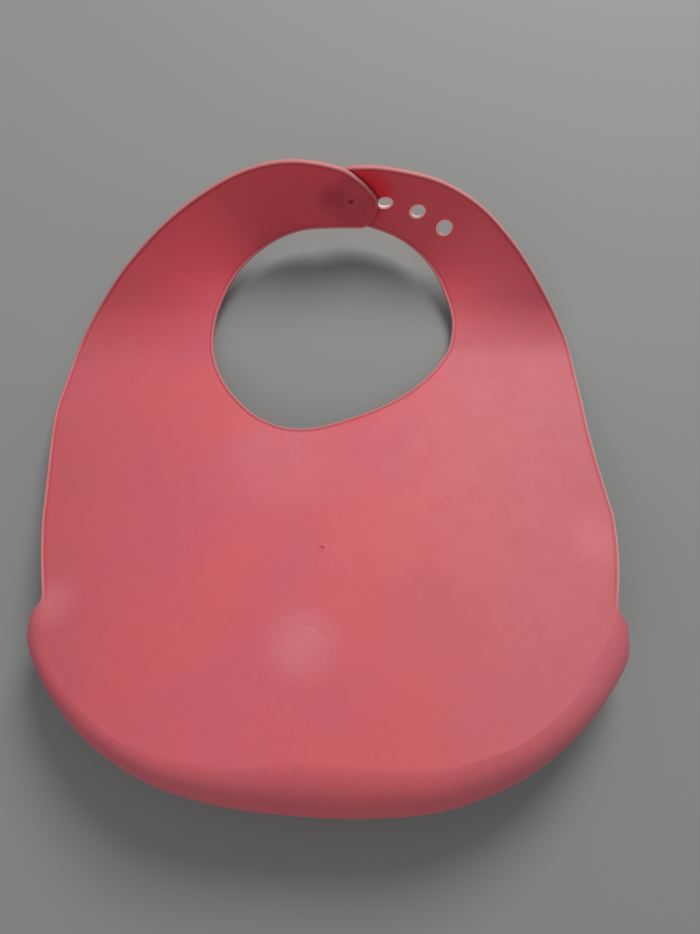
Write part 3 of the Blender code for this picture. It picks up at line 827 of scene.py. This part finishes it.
def moulding_faces(solid):
    """All outer faces of the moulding as (corners, part), and the cut edges between parts as (a, b, part)."""
    under = solid["under"]
    out, sides = [], {}
    for face, part in zip(solid["faces"], solid["parts"]):
        out.append((face, part))
        out.append(([int(under[k]) for k in reversed(face)], part))
        for a, b in zip(face, face[1:] + face[:1]):
            sides.setdefault((min(a, b), max(a, b)), []).append((a, b, part))
            if (a, b) in solid["hole_edges"] or (b, a) in solid["hole_edges"]:
                out.append(([b, a, int(under[a]), int(under[b])], part))
    cuts = [side for both in sides.values() if len({s[2] for s in both}) > 1 for side in both]
    return out, cuts


def give(mesh, label, values):
    """Gives a mesh's points a value or a vector each, for the material to read."""
    vector = values.ndim > 1
    layer = mesh.attributes.new(label, "FLOAT_VECTOR" if vector else "FLOAT", "POINT")
    layer.data.foreach_set("vector" if vector else "value", values.astype(np.float32).ravel())


def new_piece(name, mesh):
    piece = bpy.data.objects.new(name, mesh)
    bpy.context.scene.collection.objects.link(piece)
    return piece


def make_piece(name, number, solid, faces, cuts, normals):
    """One part of the moulding as a closed mesh, shaded as if the moulding were whole."""
    mine = [corners for corners, part in faces if part == number]
    caps = []
    for a, b, part in cuts:
        if part == number:
            cap = [b, a, int(solid["under"][a]), int(solid["under"][b])]
            caps.append([k for i, k in enumerate(cap) if k not in cap[:i]])
    used = sorted({k for face in mine + caps for k in face})
    renumber = {k: i for i, k in enumerate(used)}
    places = solid["points"][used] + SHIFT
    mesh = bpy.data.meshes.new(name)
    corners = [[renumber[k] for k in face] for face in mine + caps]
    mesh.from_pydata([tuple(p) for p in places * MM], [], corners)
    mesh.shade_smooth()
    shading = [tuple(normals[k]) for face in mine for k in face]
    for face, normal in zip(caps, face_normals(solid["points"], caps) if caps else []):
        shading += [tuple(unit(normal))] * len(face)
    mesh.normals_split_custom_set(shading)
    for label in ("from_rim", "from_hole", "bead", "hole_side"):
        give(mesh, label, solid[label][used])
    give(mesh, "place", places)
    return new_piece(name, mesh)


def closure_stud():
    """The mushroom stud under the stud strap."""
    # Heights and radii: a fillet at the stem's root, the stem, the head's rounded brim and its domed crown.
    profile = [(STEM_START, 0.0), (STEM_START, STEM_RADIUS + 0.8), (STEM_START + 0.4, STEM_RADIUS + 0.25)]
    profile += [(STEM_START + 0.9, STEM_RADIUS), (STEM_END - 0.5, STEM_RADIUS)]
    profile += [(STEM_END - 0.1, STEM_RADIUS + 0.3), (STEM_END, HEAD_RADIUS - 0.5)]
    profile += [(STEM_END + 0.12, HEAD_RADIUS - 0.12), (BRIM, HEAD_RADIUS)]
    for turn in np.linspace(15, 90, 9):
        height = BRIM + (HEAD_CROWN - BRIM) * math.sin(math.radians(turn))
        profile.append((height, HEAD_RADIUS * math.cos(math.radians(turn))))
    first = unit(np.cross(STUD_AXIS, (0.0, 0.0, 1.0)))
    second = np.cross(-STUD_AXIS, first)
    bm = bmesh.new()
    line = []
    for height, radius in profile:
        at = STUD_ROOT - STUD_AXIS * height + first * radius
        line.append(bm.verts.new((at + SHIFT) * MM))
    edges = [bm.edges.new(pair) for pair in zip(line, line[1:])]
    bmesh.ops.spin(
        bm,
        geom=line + edges,
        cent=(STUD_ROOT + SHIFT) * MM,
        axis=-STUD_AXIS,
        angle=2 * math.pi,
        steps=STUD_SIDES,
        use_merge=True,
    )
    bmesh.ops.remove_doubles(bm, verts=bm.verts, dist=2e-6)
    bmesh.ops.recalc_face_normals(bm, faces=bm.faces)
    mesh = bpy.data.meshes.new("closure_stud_skin")
    bm.to_mesh(mesh)
    bm.free()
    mesh.shade_smooth()
    places = np.array([v.co for v in mesh.vertices]) / MM
    give(mesh, "place", places)
    for label, value in (("from_rim", FAR), ("from_hole", FAR), ("bead", 0.0), ("hole_side", 0.0)):
        give(mesh, label, np.full(len(places), value))
    return new_piece("closure_stud_skin", mesh)


class Nodes:
    """Short ways to add and join shader nodes."""

    def __init__(self, name):
        self.material = bpy.data.materials.new(name)
        self.material.use_nodes = True
        self.tree = self.material.node_tree
        self.shader = self.tree.nodes["Principled BSDF"]

    def put(self, value, socket):
        if isinstance(value, bpy.types.NodeSocket):
            self.tree.links.new(value, socket)
        else:
            socket.default_value = value

    def attribute(self, name, vector=False):
        node = self.tree.nodes.new("ShaderNodeAttribute")
        node.attribute_name = name
        return node.outputs["Vector" if vector else "Fac"]

    def noise(self, place, size, detail=3.0, roughness=0.5, shift=0.0):
        """Noise from 0 to 1 whose features are about size millimetres."""
        moved = self.tree.nodes.new("ShaderNodeVectorMath")
        moved.operation = "MULTIPLY_ADD"
        self.put(place, moved.inputs[0])
        moved.inputs[1].default_value = (1 / size,) * 3
        moved.inputs[2].default_value = (shift, 2 * shift, 3 * shift)
        node = self.tree.nodes.new("ShaderNodeTexNoise")
        node.inputs["Scale"].default_value = 1.0
        node.inputs["Detail"].default_value = detail
        node.inputs["Roughness"].default_value = roughness
        self.tree.links.new(moved.outputs[0], node.inputs["Vector"])
        return node.outputs["Fac"]

    def specks(self, place, size, radius, shift=0.0):
        """1 in small round spots, about one in each cube of that size, and 0 elsewhere."""
        moved = self.tree.nodes.new("ShaderNodeVectorMath")
        moved.operation = "MULTIPLY_ADD"
        self.put(place, moved.inputs[0])
        moved.inputs[1].default_value = (1 / size,) * 3
        moved.inputs[2].default_value = (shift,) * 3
        node = self.tree.nodes.new("ShaderNodeTexVoronoi")
        node.inputs["Scale"].default_value = 1.0
        self.tree.links.new(moved.outputs[0], node.inputs["Vector"])
        return self.ramp(node.outputs["Distance"], radius / size, 0.4 * radius / size)

    def ramp(self, value, low, high, start=0.0, end=1.0):
        """start up to low, end from high on, smooth between. low may be the larger."""
        node = self.tree.nodes.new("ShaderNodeMapRange")
        node.interpolation_type = "SMOOTHSTEP"
        if low > high:
            low, high, start, end = high, low, end, start
        for label, number in (("From Min", low), ("From Max", high), ("To Min", start), ("To Max", end)):
            node.inputs[label].default_value = number
        self.put(value, node.inputs["Value"])
        return node.outputs["Result"]

    def math(self, operation, a, b=0.0):
        node = self.tree.nodes.new("ShaderNodeMath")
        node.operation = operation
        self.put(a, node.inputs[0])
        self.put(b, node.inputs[1])
        return node.outputs[0]

    def times(self, a, b):
        return self.math("MULTIPLY", a, b)

    def mix(self, share, a, b):
        node = self.tree.nodes.new("ShaderNodeMix")
        node.data_type = "RGBA"
        self.put(share, node.inputs["Factor"])
        self.put(a, node.inputs["A"])
        self.put(b, node.inputs["B"])
        return node.outputs["Result"]

    def component(self, vector, axis):
        node = self.tree.nodes.new("ShaderNodeSeparateXYZ")
        self.put(vector, node.inputs[0])
        return node.outputs[axis]

    def patch(self, place, patch):
        """A patch's strength within its radius, and 0 beyond its soft border."""
        centre, radius, soft, strength = patch
        node = self.tree.nodes.new("ShaderNodeVectorMath")
        node.operation = "DISTANCE"
        self.put(place, node.inputs[0])
        node.inputs[1].default_value = tuple(centre + SHIFT)
        return self.times(self.ramp(node.outputs["Value"], radius + soft, radius), strength)

    def bump(self, height, distance, normal=None, strength=1.0):
        node = self.tree.nodes.new("ShaderNodeBump")
        node.inputs["Strength"].default_value = strength
        node.inputs["Distance"].default_value = distance
        self.put(height, node.inputs["Height"])
        if normal is not None:
            self.put(normal, node.inputs["Normal"])
        return node.outputs["Normal"]


ROSE = (0.595, 0.103, 0.127, 1.0)
WARM_ROSE = (0.615, 0.108, 0.120, 1.0)
COOL_ROSE = (0.575, 0.104, 0.138, 1.0)
# Painted glow: the deeper red of the shaded collar and straps.
STRAP_GLOW_RED = (0.68, 0.066, 0.088, 1.0)
# Deep red for random mottling, and painted shade in the groove by the bead.
DEEP_TONE_AND_SHADE = (0.42, 0.03, 0.045, 1.0)
# Painted highlight on the bead, and its greyer form to the right.
BEAD_HIGHLIGHT = (0.51, 0.20, 0.20, 1.0)
GREY_BEAD_HIGHLIGHT = (0.50, 0.29, 0.27, 1.0)
# Painted highlight on the holes' rims.
HOLE_RIM_HIGHLIGHT = (0.88, 0.55, 0.53, 1.0)
# Painted shade in the dimple over the stud.
DIMPLE_SHADE = (0.20, 0.006, 0.010, 1.0)
# Painted highlight colour of the highlight patches.
HIGHLIGHT_PINK = (0.68, 0.21, 0.23, 1.0)
# Painted glow where the stud strap covers the hole strap.
GLOW_RED = (0.72, 0.018, 0.03, 1.0)
# Painted sheen, greying the right side.
SHEEN_GREY = (0.50, 0.138, 0.165, 1.0)
# Painted shade darkening the left side, also used for the stain.
DUSKY_SHADE_AND_STAIN = (0.455, 0.085, 0.105, 1.0)
BROWN = (0.17, 0.015, 0.02, 1.0)
LINT = (0.85, 0.62, 0.60, 1.0)

# Soft patches in the colour: middle, radius, soft border and strength. First the painted highlights, paler patches
# that stand in for the light's broad reflection on the panel.
HIGHLIGHT_PATCHES = [
    ((-7.0, -70.0, 34.0), 2.0, 17.0, 0.6),
    ((-100.0, -56.0, 22.0), 1.0, 13.0, 0.5),
    ((106.0, -31.0, 19.0), 1.0, 14.0, 0.45),
    ((-20.0, 5.0, 13.0), 5.0, 30.0, 0.25),
    ((60.0, 20.0, 8.0), 5.0, 38.0, 0.12),
]
STAIN = ((39.0, -58.0, 32.0), 4.0, 26.0, 0.3)
# Painted glow: a deep red where the stud strap covers the hole strap, standing in for light scattered in the silicone
# in its shade.
UNDERLAP_GLOW = ((17.5, 123.5, 29.0), 7.0, 8.5, 0.85)
# Marks on the stud strap, from the root of its stud: a darker patch, a smudge, and painted shade in the dimple.
# A darker round patch on the stud strap about the stud.
STUD_DARKENING = (STUD_ROOT + (1.5, 0.0, 0.0), 10.5, 4.5, 0.36)
SMUDGE = (STUD_ROOT + (-7.0, 0.0, 1.0), 1.0, 12.0, 0.55)
DIMPLE_SHADE_PATCH = (STUD_ROOT - STUD_AXIS * 0.2, 1.0, 0.8, 0.85)


def clouded(n, place):
    """The silicone's colour: clouds of rose, greyer to the right as a painted sheen, darker to the left as painted
    shade, with painted highlight patches and a painted glow of deeper red on the collar.
    """
    across, up = n.component(place, "X"), n.component(place, "Y")
    clouds = n.ramp(n.noise(place, 46.0, 2.0), 0.35, 0.65)
    colour = n.mix(clouds, COOL_ROSE, WARM_ROSE)
    patches = n.ramp(n.noise(place, 17.0, 3.0, 0.55, 7.0), 0.3, 0.7)
    colour = n.mix(n.times(patches, 0.3), colour, ROSE)
    # Painted sheen: the right side is greyed.
    colour = n.mix(n.times(n.ramp(across, 10.0, 110.0), 0.58), colour, SHEEN_GREY)
    # Painted shade: the left side is darker.
    colour = n.mix(n.times(n.ramp(across, -30.0, -115.0), 0.55), colour, DUSKY_SHADE_AND_STAIN)
    # Painted highlights: paler patches where the light's broad reflection falls on the panel and shoulder.
    for patch in HIGHLIGHT_PATCHES:
        uneven = n.ramp(n.noise(place, 16.0, 2.0, 0.5, patch[1]), 0.2, 0.8, 0.7, 1.0)
        colour = n.mix(n.times(n.patch(place, patch), uneven), colour, HIGHLIGHT_PINK)
    colour = n.mix(n.times(n.patch(place, STAIN), clouds), colour, DUSKY_SHADE_AND_STAIN)
    mottle = n.ramp(n.noise(place, 3.0, 4.0, 0.6, 3.0), 0.35, 0.75, 0.0, 0.09)
    colour = n.mix(mottle, colour, DEEP_TONE_AND_SHADE)
    # Painted glow: a deeper, cleaner red on the collar and straps, standing in for light scattered in the silicone
    # where they lie in shade.
    return n.mix(n.times(n.ramp(up, 52.0, 105.0), 0.72), colour, STRAP_GLOW_RED)


def marked(n, place, colour):
    """Adds the marks at the closure, a darker patch and a smudge, and a painted glow of deep red on the hole strap
    where the stud strap covers it.
    """
    hole_side = n.attribute("hole_side")
    blotch = n.ramp(n.noise(place, 5.0, 3.0, 0.6, 11.0), 0.25, 0.75, 0.55, 1.0)
    dark = n.math("MAXIMUM", n.patch(place, STUD_DARKENING), n.patch(place, SMUDGE))
    dark = n.times(dark, n.math("SUBTRACT", 1.0, hole_side))
    colour = n.mix(n.times(dark, blotch), colour, BROWN)
    # Painted glow: deep red on the hole strap under the stud strap.
    return n.mix(n.times(n.patch(place, UNDERLAP_GLOW), hole_side), colour, GLOW_RED)


def edged(n, place, colour):
    """Adds what follows the edges: painted shade in the groove, a painted highlight on the bead, and painted
    highlights round the holes' rims.
    """
    from_rim, from_hole, bead = n.attribute("from_rim"), n.attribute("from_hole"), n.attribute("bead")
    # Painted shade: the groove inside the bead is darkened.
    groove_shade = n.times(n.ramp(from_rim, 1.25, 1.5), n.ramp(from_rim, 2.3, 1.7))
    colour = n.mix(n.times(n.times(groove_shade, bead), 0.45), colour, DEEP_TONE_AND_SHADE)
    # Painted highlight: the bead is paler, greyer to the right.
    bead_highlight = n.mix(n.ramp(n.component(place, "X"), 30.0, 110.0), BEAD_HIGHLIGHT, GREY_BEAD_HIGHLIGHT)
    edge = n.times(n.ramp(from_rim, 1.25, 0.85), 0.78)
    colour = n.mix(n.times(edge, n.math("MAXIMUM", bead, 0.12)), colour, bead_highlight)
    # Painted highlight: a pale ring round each hole's rim.
    return n.mix(n.ramp(from_hole, 0.95, 0.55), colour, HOLE_RIM_HIGHLIGHT)


def silicone():
    """Matt moulded silicone: clouded rose, paler on the beads as a painted highlight, with painted highlight patches,
    painted shade and glow, handling marks and lint.
    """
    n = Nodes("rose_silicone")
    place = n.attribute("place", vector=True)
    colour = edged(n, place, marked(n, place, clouded(n, place)))
    # Painted shade in the dimple over the stud.
    colour = n.mix(n.patch(place, DIMPLE_SHADE_PATCH), colour, DIMPLE_SHADE)
    colour = n.mix(n.times(n.specks(place, 38.0, 0.28, 0.37), 0.8), colour, LINT)
    colour = n.mix(n.times(n.specks(place, 31.0, 0.32, 5.3), 0.5), colour, BROWN)
    roughness = n.ramp(n.noise(place, 12.0, 4.0, 0.6, 5.0), 0.3, 0.7, 0.54, 0.60)
    fine = n.bump(n.noise(place, 0.5, 3.0, 0.6, 2.0), 0.012 * MM, strength=0.5)
    waves = n.bump(n.noise(place, 6.0, 2.0, 0.5, 9.0), 0.15 * MM, fine, 0.22)
    settings = {
        "Base Color": colour,
        "Roughness": roughness,
        "Normal": waves,
        "IOR": 1.41,
        "Specular IOR Level": 0.4,
        "Subsurface Weight": 0.25,
        "Subsurface Radius": (1.0, 0.25, 0.2),
        "Subsurface Scale": 2.0 * MM,
        "Sheen Weight": 0.05,
        "Sheen Roughness": 0.4,
        "Sheen Tint": (1.0, 0.88, 0.9, 1.0),
    }
    for label, value in settings.items():
        n.put(value, n.shader.inputs[label])
    return n.material


FLOOR_REACH = 6.0  # metres


def plain_floor():
    n = Nodes("pale_floor")
    n.shader.inputs["Base Color"].default_value = (0.24, 0.244, 0.237, 1.0)
    n.shader.inputs["Roughness"].default_value = 0.8
    mesh = bpy.data.meshes.new("floor")
    corners = [(-FLOOR_REACH, -FLOOR_REACH, 0), (FLOOR_REACH, -FLOOR_REACH, 0)]
    corners += [(FLOOR_REACH, FLOOR_REACH, 0), (-FLOOR_REACH, FLOOR_REACH, 0)]
    mesh.from_pydata(corners, [], [(0, 1, 2, 3)])
    mesh.materials.append(n.material)
    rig.stage(new_piece("floor", mesh))


def area_light(name, place, size, power, colour, aim=(0.0, 0.0, 0.01)):
    light = bpy.data.lights.new(name, "AREA")
    light.shape = "DISK"
    light.size = size
    light.energy = power
    light.color = colour
    lamp = bpy.data.objects.new(name, light)
    place, aim = np.array(place), np.array(aim)
    lamp.location = place
    lamp.rotation_euler = Vector(aim - place).to_track_quat("-Z", "Y").to_euler()
    bpy.context.scene.collection.objects.link(lamp)


def studio():
    world = bpy.data.worlds.new("studio")
    world.use_nodes = True
    world.node_tree.nodes["Background"].inputs["Color"].default_value = (0.86, 0.93, 1.0, 1.0)
    world.node_tree.nodes["Background"].inputs["Strength"].default_value = 0.38
    bpy.context.scene.world = world
    area_light("window", (0.3, 0.85, 0.88), 0.6, 13.2, (1.0, 0.97, 0.93))
    area_light("fill", (-0.6, -1.0, 0.75), 1.0, 2.8, (1.0, 0.96, 0.94))
    camera = bpy.data.objects.new("camera", bpy.data.cameras.new("camera"))
    camera.data.lens = LENS
    camera.location = in_frame(CAMERA)
    camera.rotation_euler = (math.radians(CAMERA_TILT), 0, 0)
    camera.data.clip_start = 0.01
    bpy.context.scene.collection.objects.link(camera)
    bpy.context.scene.camera = camera
    bpy.context.scene.view_settings.view_transform = "Standard"


def in_frame(point):
    return tuple((np.asarray(point, float) + SHIFT) * MM)


def across_cut(station):
    """Two points either side of a strap's joint, the first on the collar's side."""
    at, along, _, _ = frame_at(station, 0.5)
    toward_tip = -along if station < LAST_LEFT else along
    return in_frame(at - BEND_REACH * toward_tip), in_frame(at + BEND_REACH * toward_tip)


def build():
    sheet = middle_surface()
    solid = both_faces(sheet)
    faces, cuts = moulding_faces(solid)
    normals = corner_normals(solid["points"], [corners for corners, _ in faces])
    material = silicone()
    pieces = {}
    names = {
        STUD_PIECE: ("stud_strap_skin", ("stud_strap",)),
        LEFT_PIECE: ("left_shoulder_skin", ("left_shoulder",)),
        BACK_PIECE: ("back_skin", ("back_panel", "yoke_panel")),
        RIGHT_PIECE: ("right_shoulder_skin", ("right_shoulder",)),
        HOLE_PIECE: ("hole_strap_skin", ("hole_strap",)),
        WALL_PIECE: ("pocket_wall_skin", ("pocket_wall",)),
        FRONT_PIECE: ("pocket_front_skin", ("pocket_front",)),
    }
    for number, (name, nodes) in names.items():
        pieces[number] = make_piece(name, number, solid, faces, cuts, normals)
        pieces[number].data.materials.append(material)
        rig.replaces(pieces[number], *nodes)
        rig.slot(pieces[number], "silicone")
    stud = closure_stud()
    stud.data.materials.append(material)
    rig.replaces(stud, "closure_stud")
    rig.slot(stud, "silicone")
    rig.ride(stud, "stud_end")
    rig.ride(pieces[WALL_PIECE], "pocket")
    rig.ride(pieces[FRONT_PIECE], "pocket")
    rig.blend(pieces[BACK_PIECE], "pocket", "yoke", *[in_frame((0, y, 0)) for y in WAIST_BEND])
    for number in (LEFT_PIECE, RIGHT_PIECE):
        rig.blend(pieces[number], "yoke", "collar", *[in_frame((0, y, 0)) for y in COLLAR_BEND])
    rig.blend(pieces[STUD_PIECE], "collar", "stud_end", *across_cut(STUD_CUT))
    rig.blend(pieces[HOLE_PIECE], "collar", "hole_end", *across_cut(HOLE_CUT))


build()
plain_floor()
studio()
made_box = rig.bounds()
with open("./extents.json", "w") as out:
    json.dump({"cad": [list(c) for c in cad_box], "visual": [list(c) for c in made_box]}, out)
